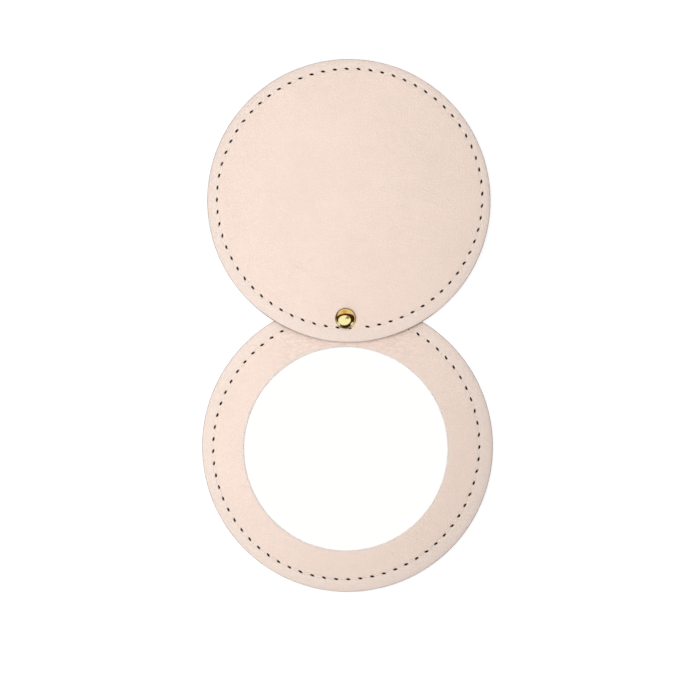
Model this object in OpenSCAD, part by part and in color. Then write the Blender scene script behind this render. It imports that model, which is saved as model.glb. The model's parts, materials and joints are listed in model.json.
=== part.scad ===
// Round pocket mirror with a stitched cover that swivels on one rivet.
// The origin is the centre of the base's back face. +Z points out of the mirror,
// +Y points towards the opened cover, and all lengths are in millimetres.

/* [Base disc] */
// Diameter of the base disc, which carries the mirror
base_dia = 83; // [70:1:110]
// Thickness of the leather on the base's front
base_front_t = 0.8; // [0.7:0.05:1.2]
// Thickness of the leather on the base's back
base_back_t = 0.8; // [0.7:0.05:1.2]
// Thickness of the stiff board behind the mirror
back_board_t = 1; // [0.6:0.1:2]
// Width of the leather ring between the mirror window and the rim
ring_w = 12.5; // [10:0.5:18]

/* [Mirror] */
// Thickness of the mirror glass
glass_t = 1.8; // [1:0.1:3]
// Thickness of the glue pad under the mirror glass
adhesive_t = 0.2; // [0.1:0.05:0.5]
// How far the leather ring laps over the mirror's edge
window_lap = 2; // [1:0.1:3]
// Sideways place of the mirror from the base's centre
mirror_x = -0.5; // [-1:0.1:1]
// Lengthways place of the mirror from the base's centre
mirror_y = -0.7; // [-1:0.1:1]

/* [Cover disc] */
// Diameter of the cover disc
cover_dia = 80.5; // [70:0.5:108]
// Thickness of the leather on the cover's outside
cover_front_t = 0.8; // [0.7:0.05:1.2]
// Thickness of the stiff board inside the cover
cover_board_t = 1.2; // [0.8:0.1:2]
// Thickness of the leather that lines the cover's inside
lining_t = 0.7; // [0.6:0.05:1.2]

/* [Pivot] */
// Distance from the base's rim to the pivot
pivot_inset = 5; // [4.4:0.1:6]
// Distance from the cover's rim to the pivot
cover_pivot_inset = 6.8; // [6.6:0.1:9]
// How far the open cover is swung from the base's centre line, in degrees
rest_swing = -2.4; // [-6:0.1:6]
// Diameter of the rivet's shank, which the cover turns on
shank_dia = 3; // [2.4:0.1:3.6]
// Diameter of the stem that the cap is pressed on
stem_dia = 2; // [1.6:0.1:2.4]
// Diameter of the rivet's flat head on the back
head_dia = 6.4; // [5.2:0.1:7.6]
// Thickness of the rivet's flat head
head_t = 0.45; // [0.35:0.05:0.6]
// Diameter of the domed rivet cap
cap_dia = 6; // [5.4:0.1:6.4]
// Height of the domed rivet cap
cap_h = 2.2; // [1.8:0.1:2.8]
// Diameter of the thin washer between base and cover
washer_dia = 5.5; // [4.6:0.1:5.6]
// Thickness of the thin washer
washer_t = 0.45; // [0.3:0.05:0.8]

/* [Seams] */
// Distance from the base's rim to its seam
base_seam_inset = 3.6; // [3:0.1:4.2]
// Distance from the cover's rim to its seam
cover_seam_inset = 3; // [2.8:0.1:3.6]
// Stitches in the base's seam
base_stitches = 66; // [40:1:72]
// Even stitches in the cover's seam
cover_stitches = 67; // [40:1:72]
// Length of the one long stitch that closes the cover's seam
closing_stitch = 5.2; // [3:0.1:7]
// Diameter of the sewing thread
thread_dia = 0.32; // [0.26:0.01:0.36]
// Length of the slit that the needle leaves
slit_len = 1.45; // [1.1:0.05:1.6]
// Width of the slit that the needle leaves
slit_w = 0.62; // [0.52:0.02:0.8]
// Turn of each slit from the line of the seam, in degrees
slit_slant = 17; // [0:1:30]

/* [Rims] */
// Width of the band along each rim that rounds off
rim_band_w = 1.6; // [1:0.1:2.4]
// How far the rounded band drops at the rim
rim_drop = 0.3; // [0.1:0.05:0.4]
// Radius of each leather's cut edge
edge_round = 0.6; // [0.5:0.05:0.9]
// Radius of the leather's edge round the mirror window
window_round = 0.9; // [0.8:0.05:1.4]

/* [Hidden] */
$fn = 96;

// Facets of the small rounds: threads, slits and the rivet
small_fn = 24;
// How far a cutting tool runs past the face that it cuts
overrun = 0.5;

// Setback of each board's edge from the leather's rim
board_setback = 0.3;
// Height of the leather edge's widest place above its glued face
edge_waist = 0.15;
// Gap between the mirror's edge and the frame board
mirror_clear = 0.2;
// Distance of the glue pad's edge from the mirror's edge
adhesive_inset = 3;
// Chamfer ground along the mirror's edges
glass_chamfer = 0.3;

// Radial clearance of the shank in the base's layers and the stem in its cap
press_clear = 0.02;
// Radial clearance of the shank in the cover and in the washer
swivel_clear = 0.06;
// Gap above the washer and under the rivet cap, which lets the cover turn
run_clear = 0.05;
// Depth of the rivet's flat head below the base's back face
head_sink = 0.05;
// Gap between the rivet's head and the dimple in the back leather
dimple_clear = 0.05;
// Chamfer round the rivet's flat head
head_chamfer = 0.2;
// Chamfer on the end of the rivet's stem
stem_chamfer = 0.15;
// Thickness of the cap's pressed metal
cap_wall = 0.35;
// Height of the cap's widest place above its lower edge
cap_waist = 0.25;
// Share of the cap's height above its waist that the side arc takes
cap_side_share = 0.77;
// Wall of the tube inside the cap that grips the stem
cap_tube_wall = 0.4;
// Gap between the stem's end and the bottom of its socket
socket_end_gap = 0.1;
// Metal between the socket and the cap's top
socket_roof = 0.6;

// Place of the base seam's centre from the base's centre
base_seam_x = -0.35;
base_seam_y = -0.05;
// Place of the cover seam's centre from the cover's centre
cover_seam_x = 0.2;
cover_seam_y = 0.65;
// How far each seam drifts out of round, out and in twice a turn
base_seam_drift = 0.23;
cover_seam_drift = 0.46;
// Direction in which each seam drifts furthest out, in degrees
base_drift_angle = 36;
cover_drift_angle = 9;
// Distance from the washer's edge to either end of the base's seam
seam_stop = 2.1;
// How far round the base's seam ends are shifted along the seam
base_seam_shift = 0.4;
// Distance along the cover's seam from the pivot to the first needle hole
cover_seam_lead = 6.4;
// Depth of the thread's crown below the leather's face
thread_sink = 0.02;
// Gap between the thread and the channel that it is pulled into
thread_clear = 0.03;
// Radius of the thread's centre line where it dips into a slit
dip_r = 0.26;
// Gap between a leg of thread and the slit's tip
slit_tip_gap = 0.13;
// Gap between the turns of the two threads inside a slit
lock_gap = 0.06;
// How much thicker the thread's radius is where it turns back inside a slit
turn_swell = 0.01;
// How far each leg of thread runs on into its turn
leg_overlap = 0.04;

base_r = base_dia / 2;
cover_r = cover_dia / 2;
window_r = base_r - ring_w;
mirror_r = window_r + window_lap;
frame_board_t = adhesive_t + glass_t;
shank_r = shank_dia / 2;
stem_r = stem_dia / 2;
head_r = head_dia / 2;
cap_r = cap_dia / 2;
washer_r = washer_dia / 2;
thread_r = thread_dia / 2;

// Heights of the layers, from the base's back face up to the cover's top face
back_board_z = base_back_t;
frame_board_z = back_board_z + back_board_t;
glass_z = frame_board_z + adhesive_t;
base_front_z = frame_board_z + frame_board_t;
base_top_z = base_front_z + base_front_t;
lining_z = base_top_z + washer_t + run_clear;
cover_board_z = lining_z + lining_t;
cover_front_z = cover_board_z + cover_board_t;
cover_top_z = cover_front_z + cover_front_t;
shoulder_z = cover_top_z + run_clear;
stem_top_z = shoulder_z + cap_h - socket_roof - socket_end_gap;
base_lock_z = base_top_z / 2;
cover_lock_z = (lining_z + cover_top_z) / 2;

pivot_y = base_r - pivot_inset;
pivot_to_cover = cover_r - cover_pivot_inset;

// Half the distance between the two legs of thread in one slit
leg_at = slit_len / 2 - thread_r - slit_tip_gap;
channel_depth = thread_sink + thread_dia + thread_clear;
channel_w = thread_dia + 2 * thread_clear;

// Seam of the base: an open row that stops on either side of the washer
base_seam_r = base_r - base_seam_inset;
base_pivot_angle = atan2(pivot_y - base_seam_y, -base_seam_x);
base_gap_angle = 2 * asin((washer_r + seam_stop) / base_seam_r);
base_step = (360 - base_gap_angle) / base_stitches;
base_start = base_pivot_angle + base_gap_angle / 2 + arc_angle(base_seam_shift, base_seam_r);
base_holes = [
    for (i = [0 : base_stitches])
        let (a = base_start + i * base_step)
        needle_hole([base_seam_x, base_seam_y], base_seam_r, base_seam_drift, base_drift_angle, a)
];

// Seam of the cover: a ring of even stitches closed by one long stitch
cover_seam_r = cover_r - cover_seam_inset;
cover_pivot_angle = atan2(-pivot_to_cover - cover_seam_y, -cover_seam_x);
cover_step = (360 - arc_angle(closing_stitch, cover_seam_r)) / cover_stitches;
cover_start = cover_pivot_angle + arc_angle(cover_seam_lead, cover_seam_r);
cover_holes = [
    for (i = [0 : cover_stitches])
        let (a = cover_start + i * cover_step)
        needle_hole([cover_seam_x, cover_seam_y], cover_seam_r, cover_seam_drift, cover_drift_angle, a)
];

leather_colour = [0.96, 0.89, 0.84];
lining_colour = [0.93, 0.86, 0.81];
board_colour = [0.72, 0.64, 0.54];
thread_colour = [0.98, 0.94, 0.88];
glass_colour = [0.86, 0.91, 0.93];
glue_colour = [0.9, 0.9, 0.85];
metal_colour = [0.85, 0.66, 0.3];
washer_colour = [0.95, 0.95, 0.93];

// Angle that an arc of a given length takes on a circle
function arc_angle(length, r) = length / r * 180 / PI;

// Point at a radius and an angle
function polar(r, a) = [r * cos(a), r * sin(a)];

// One needle hole: its place, and the direction of its slit in degrees
function needle_hole(centre, r, drift, drift_angle, a) =
    let (p = centre + polar(r + drift * cos(2 * (a - drift_angle)), a))
    [p.x, p.y, a + 90 - slit_slant];

// Where the thread leaves a hole, side 1, or comes back to it, side -1
function leg_place(hole, side) = [hole.x, hole.y] + polar(side * leg_at, hole.z);

// The slit that a needle leaves: two arcs that meet in points
module slit_outline() {
    slit_r = (slit_len * slit_len / 4 + slit_w * slit_w / 4) / slit_w;
    intersection_for(side = [-1, 1])
        translate([0, side * (slit_r - slit_w / 2)])
            circle(slit_r, $fn = 2 * small_fn);
}

// Slits of a whole seam through a layer between two heights
module needle_slits(holes, z, h) {
    for (hole = holes)
        translate([hole.x, hole.y, z - overrun])
            rotate(hole.z)
                linear_extrude(h + 2 * overrun)
                    slit_outline();
}

// Channels that the tight thread presses into a face, one from hole to hole. Each
// starts half a thread back in its slit, so that no sliver of leather is left between.
module thread_channels(holes, closed, face_z) {
    n = len(holes);
    for (i = [0 : n - (closed ? 1 : 2)]) {
        from = leg_place(holes[i], 1);
        run = leg_place(holes[(i + 1) % n], -1) - from;
        translate([from.x, from.y, face_z - channel_depth])
            rotate(atan2(run.y, run.x))
                translate([-thread_r, -channel_w / 2, 0])
                    cube([norm(run) + thread_dia, channel_w, channel_depth + overrun / 2]);
    }
}

// Arc of thread in the XZ plane, round the origin
module thread_arc(bend_r, start, sweep, r = thread_r) {
    rotate([90, 0, 0])
        rotate_extrude(angle = sweep, start = start, $fn = 2 * small_fn)
            translate([bend_r, 0])
                circle(r, $fn = small_fn);
}

// One stitch: a run over the leather that dips into the slits at both ends
module stitch(from_hole, to_hole, run_z, turn_z) {
    from = leg_place(from_hole, 1);
    run = leg_place(to_hole, -1) - from;
    leg_h = run_z - dip_r - turn_z + leg_overlap;
    translate([from.x, from.y, run_z])
        rotate(atan2(run.y, run.x)) {
            translate([dip_r, 0, 0])
                rotate([0, 90, 0])
                    cylinder(r = thread_r, h = norm(run) - 2 * dip_r, $fn = small_fn);
            translate([dip_r, 0, -dip_r])
                thread_arc(dip_r, 90, 90);
            translate([norm(run) - dip_r, 0, -dip_r])
                thread_arc(dip_r, 0, 90);
            for (x = [0, norm(run)])
                translate([x, 0, -dip_r - leg_h])
                    cylinder(r = thread_r, h = leg_h, $fn = small_fn);
        }
}

// One seam's thread on the upper face, which turns back inside each slit
module seam_thread(holes, closed, face_z, lock_z) {
    n = len(holes);
    run_z = face_z - thread_sink - thread_r;
    turn_z = lock_z + lock_gap / 2 + thread_r + leg_at;
    for (i = [0 : n - (closed ? 1 : 2)]) {
        stitch(holes[i], holes[(i + 1) % n], run_z, turn_z);
        if (closed || i > 0)
            translate([holes[i].x, holes[i].y, turn_z])
                rotate(holes[i].z)
                    thread_arc(leg_at, 180, 180, thread_r + turn_swell);
    }
}

// Leather disc with its glued face at z = 0 and a rounded rim on the face above
module leather_disc(r, t) {
    band_x = r - rim_band_w;
    crown_r = (rim_band_w * rim_band_w + rim_drop * rim_drop) / (2 * rim_drop);
    rotate_extrude() {
        square([band_x, t]);
        intersection() {
            translate([band_x, 0])
                square([rim_band_w, t + overrun]);
            translate([band_x, t - crown_r])
                circle(crown_r, $fn = 4 * $fn);
            union() {
                translate([band_x, 0])
                    square([rim_band_w - edge_round, t + overrun]);
                translate([r - edge_round, edge_waist])
                    circle(edge_round, $fn = small_fn * 2);
            }
        }
    }
}

// Tool that cuts the mirror window with a rounded edge, from z = 0 up
module window_cutter(t) {
    rotate_extrude()
        difference() {
            translate([0, -overrun])
                square([window_r + window_round, t + 2 * overrun]);
            translate([window_r + window_round, edge_waist])
                circle(window_round, $fn = small_fn * 2);
        }
}

// Hole for the shank through a layer between two heights
module shank_hole(clear, z, h) {
    translate([0, 0, z - overrun])
        cylinder(r = shank_r + clear, h = h + 2 * overrun);
}

// Places its children on the base's pivot axis
module at_pivot() {
    translate([0, pivot_y, 0])
        children();
}

// Places its children on the mirror's axis
module at_mirror() {
    translate([mirror_x, mirror_y, 0])
        children();
}

// Places its children, drawn round the cover's centre, with the cover swung open
module on_cover() {
    at_pivot()
        rotate(rest_swing)
            translate([0, pivot_to_cover, 0])
                children();
}

// Places its children on the pivot axis, seen from the cover's centre
module at_cover_pivot() {
    translate([0, -pivot_to_cover, 0])
        children();
}

module base_back_leather() {
    color(leather_colour)
        difference() {
            translate([0, 0, base_back_t])
                mirror([0, 0, 1])
                    leather_disc(base_r, base_back_t);
            needle_slits(base_holes, 0, base_back_t);
            mirror([0, 0, 1])
                thread_channels(base_holes, false, 0);
            at_pivot() {
                shank_hole(press_clear, 0, base_back_t);
                translate([0, 0, -overrun])
                    cylinder(r = head_r + dimple_clear, h = overrun + head_sink + head_t);
            }
        }
}

module base_back_board() {
    color(board_colour)
        difference() {
            translate([0, 0, back_board_z])
                cylinder(r = base_r - board_setback, h = back_board_t);
            needle_slits(base_holes, back_board_z, back_board_t);
            at_pivot()
                shank_hole(press_clear, back_board_z, back_board_t);
        }
}

module mirror_frame_board() {
    color(board_colour)
        difference() {
            translate([0, 0, frame_board_z])
                cylinder(r = base_r - board_setback, h = frame_board_t);
            at_mirror()
                translate([0, 0, frame_board_z - overrun])
                    cylinder(r = mirror_r + mirror_clear, h = frame_board_t + 2 * overrun);
            needle_slits(base_holes, frame_board_z, frame_board_t);
            at_pivot()
                shank_hole(press_clear, frame_board_z, frame_board_t);
        }
}

module mirror_adhesive() {
    color(glue_colour)
        at_mirror()
            translate([0, 0, frame_board_z])
                cylinder(r = mirror_r - adhesive_inset, h = adhesive_t);
}

module mirror_glass() {
    ground_r = mirror_r - glass_chamfer;
    color(glass_colour)
        at_mirror()
            translate([0, 0, glass_z])
                rotate_extrude()
                    polygon([
                        [0, 0],
                        [ground_r, 0],
                        [mirror_r, glass_chamfer],
                        [mirror_r, glass_t - glass_chamfer],
                        [ground_r, glass_t],
                        [0, glass_t]
                    ]);
}

module base_front_leather() {
    color(leather_colour)
        difference() {
            translate([0, 0, base_front_z])
                leather_disc(base_r, base_front_t);
            at_mirror()
                translate([0, 0, base_front_z])
                    window_cutter(base_front_t);
            needle_slits(base_holes, base_front_z, base_front_t);
            thread_channels(base_holes, false, base_top_z);
            at_pivot()
                shank_hole(press_clear, base_front_z, base_front_t);
        }
}

module base_needle_thread() {
    color(thread_colour)
        seam_thread(base_holes, false, base_top_z, base_lock_z);
}

module base_bobbin_thread() {
    color(thread_colour)
        mirror([0, 0, 1])
            seam_thread(base_holes, false, 0, -base_lock_z);
}

module pivot_washer() {
    color(washer_colour)
        at_pivot()
            difference() {
                translate([0, 0, base_top_z])
                    cylinder(r = washer_r, h = washer_t);
                shank_hole(swivel_clear, base_top_z, washer_t);
            }
}

module rivet_post() {
    head_z = head_sink;
    head_top_z = head_sink + head_t;
    color(metal_colour)
        at_pivot()
            rotate_extrude()
                polygon([
                    [0, head_z],
                    [head_r - head_chamfer, head_z],
                    [head_r, head_z + head_chamfer],
                    [head_r, head_top_z],
                    [shank_r, head_top_z],
                    [shank_r, shoulder_z],
                    [stem_r, shoulder_z],
                    [stem_r, stem_top_z - stem_chamfer],
                    [stem_r - stem_chamfer, stem_top_z],
                    [0, stem_top_z]
                ]);
}

// Half outline of a dome: a round side arc that runs on into a flatter crown arc
module dome_outline(r, h, waist) {
    side_r = cap_side_share * (h - waist);
    side_x = r - side_r;
    crown_r = (side_x * side_x + (h - waist) * (h - waist) - side_r * side_r)
        / (2 * (h - waist - side_r));
    crown_z = h - crown_r;
    beyond = [side_x, waist] + polar(r + h, atan2(waist - crown_z, side_x));
    intersection() {
        translate([side_x, waist])
            circle(side_r);
        polygon([[side_x, 0], [r + beyond.x, 0], beyond, [side_x, waist]]);
    }
    intersection() {
        translate([0, crown_z])
            circle(crown_r, $fn = 4 * $fn);
        polygon([[0, 0], [side_x, 0], [side_x, waist], beyond, [0, beyond.y]]);
    }
}

module rivet_cap() {
    tube_r = stem_r + cap_tube_wall;
    socket_top_z = cap_h - socket_roof;
    color(metal_colour)
        at_pivot()
            translate([0, 0, shoulder_z])
                rotate_extrude()
                    difference() {
                        dome_outline(cap_r, cap_h, cap_waist);
                        intersection() {
                            translate([0, -overrun])
                                square([cap_r, cap_h + overrun]);
                            dome_outline(cap_r - cap_wall, cap_h - cap_wall, cap_waist);
                            translate([tube_r, -overrun])
                                square([cap_r, cap_h + overrun]);
                        }
                        translate([0, -overrun])
                            square([stem_r + press_clear, socket_top_z + overrun]);
                    }
}

module cover_lining() {
    color(lining_colour)
        on_cover()
            difference() {
                translate([0, 0, cover_board_z])
                    mirror([0, 0, 1])
                        leather_disc(cover_r, lining_t);
                needle_slits(cover_holes, lining_z, lining_t);
                mirror([0, 0, 1])
                    thread_channels(cover_holes, true, -lining_z);
                at_cover_pivot()
                    shank_hole(swivel_clear, lining_z, lining_t);
            }
}

module cover_board() {
    color(board_colour)
        on_cover()
            difference() {
                translate([0, 0, cover_board_z])
                    cylinder(r = cover_r - board_setback, h = cover_board_t);
                needle_slits(cover_holes, cover_board_z, cover_board_t);
                at_cover_pivot()
                    shank_hole(swivel_clear, cover_board_z, cover_board_t);
            }
}

module cover_front_leather() {
    color(leather_colour)
        on_cover()
            difference() {
                translate([0, 0, cover_front_z])
                    leather_disc(cover_r, cover_front_t);
                needle_slits(cover_holes, cover_front_z, cover_front_t);
                thread_channels(cover_holes, true, cover_top_z);
                at_cover_pivot()
                    shank_hole(swivel_clear, cover_front_z, cover_front_t);
            }
}

module cover_needle_thread() {
    color(thread_colour)
        on_cover()
            seam_thread(cover_holes, true, cover_top_z, cover_lock_z);
}

module cover_bobbin_thread() {
    color(thread_colour)
        on_cover()
            mirror([0, 0, 1])
                seam_thread(cover_holes, true, -lining_z, -cover_lock_z);
}

base_back_leather();
base_back_board();
mirror_frame_board();
mirror_adhesive();
mirror_glass();
base_front_leather();
base_needle_thread();
base_bobbin_thread();
pivot_washer();
rivet_post();
rivet_cap();
cover_lining();
cover_board();
cover_front_leather();
cover_needle_thread();
cover_bobbin_thread();
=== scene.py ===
"""Looks of a round pocket mirror whose stitched cover swivels on one rivet.

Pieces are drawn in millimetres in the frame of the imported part, and new_piece() turns
them into metres. Each leather disc is drawn flat round its own centre, with z measured
up from its glued face, and then put in its place.
"""

import json
import math
from dataclasses import dataclass

import bpy
import numpy as np
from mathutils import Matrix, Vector
from mathutils.geometry import delaunay_2d_cdt


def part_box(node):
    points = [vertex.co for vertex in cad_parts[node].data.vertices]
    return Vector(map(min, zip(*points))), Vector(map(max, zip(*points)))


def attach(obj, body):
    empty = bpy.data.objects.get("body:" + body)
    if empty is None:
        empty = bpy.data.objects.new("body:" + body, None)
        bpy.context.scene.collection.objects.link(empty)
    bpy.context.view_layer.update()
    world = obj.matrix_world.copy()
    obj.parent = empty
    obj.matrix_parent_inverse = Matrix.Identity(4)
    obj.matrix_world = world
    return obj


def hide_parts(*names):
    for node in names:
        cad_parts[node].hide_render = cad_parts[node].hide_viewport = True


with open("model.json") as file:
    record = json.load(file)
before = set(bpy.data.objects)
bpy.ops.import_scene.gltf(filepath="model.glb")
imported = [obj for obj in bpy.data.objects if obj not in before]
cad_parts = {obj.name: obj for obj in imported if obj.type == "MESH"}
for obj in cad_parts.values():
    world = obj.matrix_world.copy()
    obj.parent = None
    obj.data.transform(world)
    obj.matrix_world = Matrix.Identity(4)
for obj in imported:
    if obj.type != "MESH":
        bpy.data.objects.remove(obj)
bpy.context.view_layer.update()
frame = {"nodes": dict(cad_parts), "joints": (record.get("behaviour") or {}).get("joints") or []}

MM = 0.001
TURN = 2 * math.pi
TINY = 1e-9
RANDOM_SEED = 7

# Photograph: its size, its scale and the point of the part at its middle
PHOTO_PX = 700
MM_PER_PX = 0.2845
PHOTO_MIDDLE = (1.12, 27.5)
PHOTO_ROLL = math.radians(0.83)

# Seams, as the part's construction has them
BASE_SEAM_INSET = 3.6
BASE_SEAM_CENTRE = (-0.35, -0.05)
BASE_DRIFT = (0.23, math.radians(36))
BASE_SEAM_STOP = 2.1
BASE_SEAM_SHIFT = 0.4
BASE_STITCHES = 66
COVER_SEAM_INSET = 3.0
COVER_SEAM_CENTRE = (0.2, 0.65)
COVER_DRIFT = (0.46, math.radians(9))
COVER_SEAM_LEAD = 6.4
COVER_STITCHES = 67
CLOSING_STITCH = 5.2

# Needle slits: size, slant off the seam and its wander, and how far from their middle the thread dives
SLIT_LEN = 1.5
SLIT_W = 0.49
SLIT_SLANT = math.radians(10)
SLIT_WANDER = math.radians(5)
LEG_AT = 0.435

# How a slit closes up below the grain: shares of its height and of its width
SLIT_CLOSING_SHARES = ((0.88, 0.96), (0.55, 0.7), (0.25, 0.35), (0.0, 0.25))

# Leather rims, window edge and rivet holes
RIM_BAND_W = 1.6
RIM_DROP = 0.3
EDGE_ROUND = 0.6
EDGE_WAIST = 0.15
EDGE_START = 0.16
WINDOW_LAP = 2.0
WINDOW_BAND_W = 1.3
WINDOW_DROP = 0.16
WINDOW_TURN_W = 0.28
WINDOW_WAIST = 0.2
SHANK_HOLE_R = 1.54
DIMPLE_R = 3.25
DIMPLE_DEPTH = 0.5
DIMPLE_BEVEL = 0.05

# How the tight thread shapes the leather: depth and half width of each dip
THREAD_GROOVE = (0.07, 0.2)
SEAM_PULL = (0.07, 0.8)
SLIT_LIP = (0.1, 0.16)

# Slow rise and fall of the hand-glued leather: height and wavelengths
SWELL_H = 0.018
SWELL_WAVES = (23.0, 15.0, 9.0, 6.0)

# Where the leather's tint changes beside its thread, slits, seam, window and rivet: painted shade beside the
# thread, round the slits, at the window's edge and in the wrinkles, a painted highlight round the slits, and
# a paler band outside the seam
# painted shade in two lines beside the thread: distance and half width
THREAD_SHADE = (0.45, 0.16)
# painted highlight round the slits: distance and half width
SLIT_GLINT = (0.3, 0.15)
# width of the painted shade at the slits' rims
SLIT_SHADE_W = 0.12
OUTSIDE_W = 0.6
# width of the painted shade at the window's turned edge
SILL_W = 0.45
CREASED_R = (18.0, 27.0)

# Painted shade on the cover's cut edge, for the shadow in its gap over the base, as angles on both sides of
# the rivet, and its width
RIM_SHADE_FROM, RIM_SHADE_FULL, RIM_SHADE_FADE, RIM_SHADE_END = np.radians((8, 24, 34, 42))
RIM_SHADE_W = 0.36

# How close the leather's points lie: spacings, rows beside each feature, clear strips and counts
FIELD_SPACING = 0.9
SEAM_SPACING = 0.2
RIM_SPACING = 0.36
WINDOW_SPACING = 0.4
SEAM_ROWS = (0.07, 0.14, 0.21, 0.29, 0.38, 0.5, 0.66, 0.88, 1.15, 1.5)
RIM_ROWS = (0.22, 0.5, 0.85, 1.25, 1.7)
WINDOW_ROWS = (0.2, 0.45, 0.8)
SLIT_ROWS = (0.05, 0.11, 0.19)
RING_PHASE = 0.5
SEAM_PHASE = 0.25
FIELD_INSET = 1.6
SEAM_CLEAR_INSIDE = 1.9
SEAM_CLEAR_OUTSIDE = 1.75
SLIT_CLEAR = 0.26
BORE_CLEAR = 0.3
WINDOW_CLEAR = 0.1
FEWEST_POINTS = 6
RIM_POINTS = 720
WINDOW_POINTS = 512
BORE_POINTS = 64
SLIT_POINTS = 22
EDGE_STEPS = 8
WINDOW_STEPS = 7
MERGE_WITHIN = 1e-6

# Thread: three plies twisted round each other, and the route that they follow
PLIES = 3
PLY_R = 0.076
PLY_OFFSET = 0.088
PLY_SIDES = 6
TWIST_PITCH = 1.3
THREAD_SINK = 0.11
THREAD_BOW = 0.03
THREAD_STEP = 0.2
DIP_R = 0.38
DIP_STEPS = 5
LEG_STEPS = 4
LOOP_STEPS = 8
LOOP_RISE = 0.55
# depth below the run where the thread's painted shade starts and where it is full
DEEP_FROM = 0.02
DEEP_FULL = 0.14
START_SIDE = (0.3, 0.5, 0.8)

# Domed cap of the rivet, with the tube inside it
CAP_WALL = 0.35
CAP_WAIST = 0.25
CAP_SIDE_SHARE = 0.77
CAP_UNDERCUT_R = 1.5
CAP_LIP_W = 0.08
CAP_LIP_BEVEL = 0.02
CAP_TUBE_R = 1.4
CAP_TUBE_LIFT = 0.06
CAP_TUBE_ROOT = 0.05
CAP_SOCKET_R = 1.02
CAP_SOCKET_ROOF = 0.6
CAP_SEGMENTS = 96
CAP_STEPS = (15, 17)
CAP_INNER_STEPS = (9, 9)

# Painted dark reflection round the cap's foot: its profile rows, where it climbs and where it is spared
FOOT_ROWS = (17, 19)
FOOT_SHARE = 0.8
DARK_SIDES = ((math.radians(168), math.radians(24)), (math.radians(265), math.radians(26)))
DARK_CLIMB = 2.6
SPARED_SIDES = ((math.radians(216), math.radians(14)), (math.radians(318), math.radians(16)))
SPARED_SHARE = 0.9

# Floor: in metres, with its top just under the seam that stands proud of the back
FLOOR_SIZE = 6.0
FLOOR_Z = -0.00009
FLOOR_GLOW = 0.82
FLOOR_SHADOW = 0.35
FLOOR_MOTTLE = 60.0
FLOOR_GREYS = (0.78, 0.8)
FLOOR_ROUGHNESS = 0.9

# Camera: lens and sensor in millimetres, the part's level that is in scale, and clipping in metres
CAMERA_LENS = 135.0
CAMERA_SENSOR = 36.0
CAMERA_LEVEL_SHARE = 0.8
CAMERA_CLIP = (0.01, 10)

# Lamps, in metres and watts, and the level of the plain light from all round
WORLD_PLAIN = 0.14
TOP_PLACE = (-0.02, 0.045, 0.5)
TOP_AIM = (0.0, 0.03, 0.0)
TOP_SIZE = (0.16, 0.16)
TOP_POWER = 1.29
KEY_PLACE = (-0.075, -0.05, 0.135)
KEY_AIM = (-0.115, -0.034, 0.0)
KEY_SIZE = (0.5, 0.1)
KEY_POWER = 0.22
CARD_PLACE = (0.0, 0.0, 1.0)
CARD_SIZE = (12.0, 12.0)
CARD_POWER = 452.0

# Studio that polished metal reflects: colours, and patches as centre, half sizes, turn and softness
STUDIO_WHITE = (1.0, 1.0, 1.0, 1)
STUDIO_DARK = (0.045, 0.016, 0.006, 1)
LENS_DARK = (0.3, 0.26, 0.18, 1)
WARM_WALL = (0.88, 0.62, 0.4, 1)
WALL_DARK = (0.62, 0.42, 0.19, 1)
WALL_SPAN = (0.1, 0.14)
WALL_SHADE = ((-0.07, 0.45), (0.15, 0.15), 0.0, 0.8)
SOFTBOX = ((-0.08, -0.13), (0.42, 0.33), 0.1, 0.1)
SOFTBOX_BORDER = ((0.02, -0.1), (0.75, 0.43), 0.0, 0.12)
LENS_HOLE = ((0.15, 0.06), (0.13, 0.1), 0.3, 0.5)
CAMERA_HOLE = ((0.0, -0.019), (0.028, 0.028), 0.0, 0.1)
STRIP_LAMPS = (
    ((0.444, -0.373), (0.14, 0.075), 0.87, 0.3),
    ((-0.511, -0.385), (0.15, 0.075), -0.925, 0.3),
)
LEAST_LIFT = 0.001

# Colours of leather, thread, board and plastic, from 0 to 255; those marked below are painted shade and
# highlight
BLUSH = (246, 224, 211)
LINING_BLUSH = (240, 217, 204)
# painted shade at the window's turned edge
SILL_SHADE = (234, 221, 213)
# painted highlight round the slits
GLINT_PALE = (255, 243, 234)
# painted shade at the slits' rims and walls
SLIT_SHADE_BROWN = (150, 112, 90)
OUTSIDE_PALE = (239, 226, 218)
# painted shade that fills the slits' walls
SLIT_WALL_SHADE = (50, 30, 22)
# grey of the rounded cut edge, its colour darkened as painted shade
CUT_EDGE_SHADE = (194, 186, 183)
# painted shade on the cover's cut edge near the rivet
RIM_SHADE_GREY = (160, 140, 127)
THREAD_CREAMS = ((246, 230, 216), (255, 247, 238))
# painted shade of the thread where it dives into a slit
THREAD_DIVE_SHADE = (52, 32, 24)
BOARD_GREYS = ((196, 178, 158), (226, 212, 194))
FLECK_BROWN = (150, 128, 106)
GLUE_MILK = (236, 234, 222)
NYLON_MILK = (240, 238, 230)

# Colours of metal, as shares of light sent back
GOLDS = ((0.95, 0.82, 0.38, 1), (0.98, 0.9, 0.46, 1))
# painted dark reflection at the cap's foot
GOLD_DARK_REFLECTION = (0.08, 0.035, 0.01, 1)
SILVERS = ((0.975, 0.985, 0.985, 1), (0.99, 0.995, 0.995, 1))

# Leather's texture: sizes and depths in millimetres, spans of its patterns, shares and tones
PEBBLE_SIZE = 0.62
PEBBLE_SPAN = (0.0, 0.22)
PEBBLE_DRIFT_SIZE = 1.4
PEBBLE_DRIFT = 0.4
# span of the grain's creases that carry painted shade
CREASE_SPAN = (0.0, 0.5)
GRAIN_SHARES = (0.7, 0.3)
GRAIN_DEPTH = 0.085
BASE_GRAIN_SHARE = 0.65
RIPPLE_STRETCH = (0.35, 1.0, 1.0)
RIPPLE_SPAN = (0.0, 0.09)
CRINKLE_DEPTH = 0.022
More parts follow.
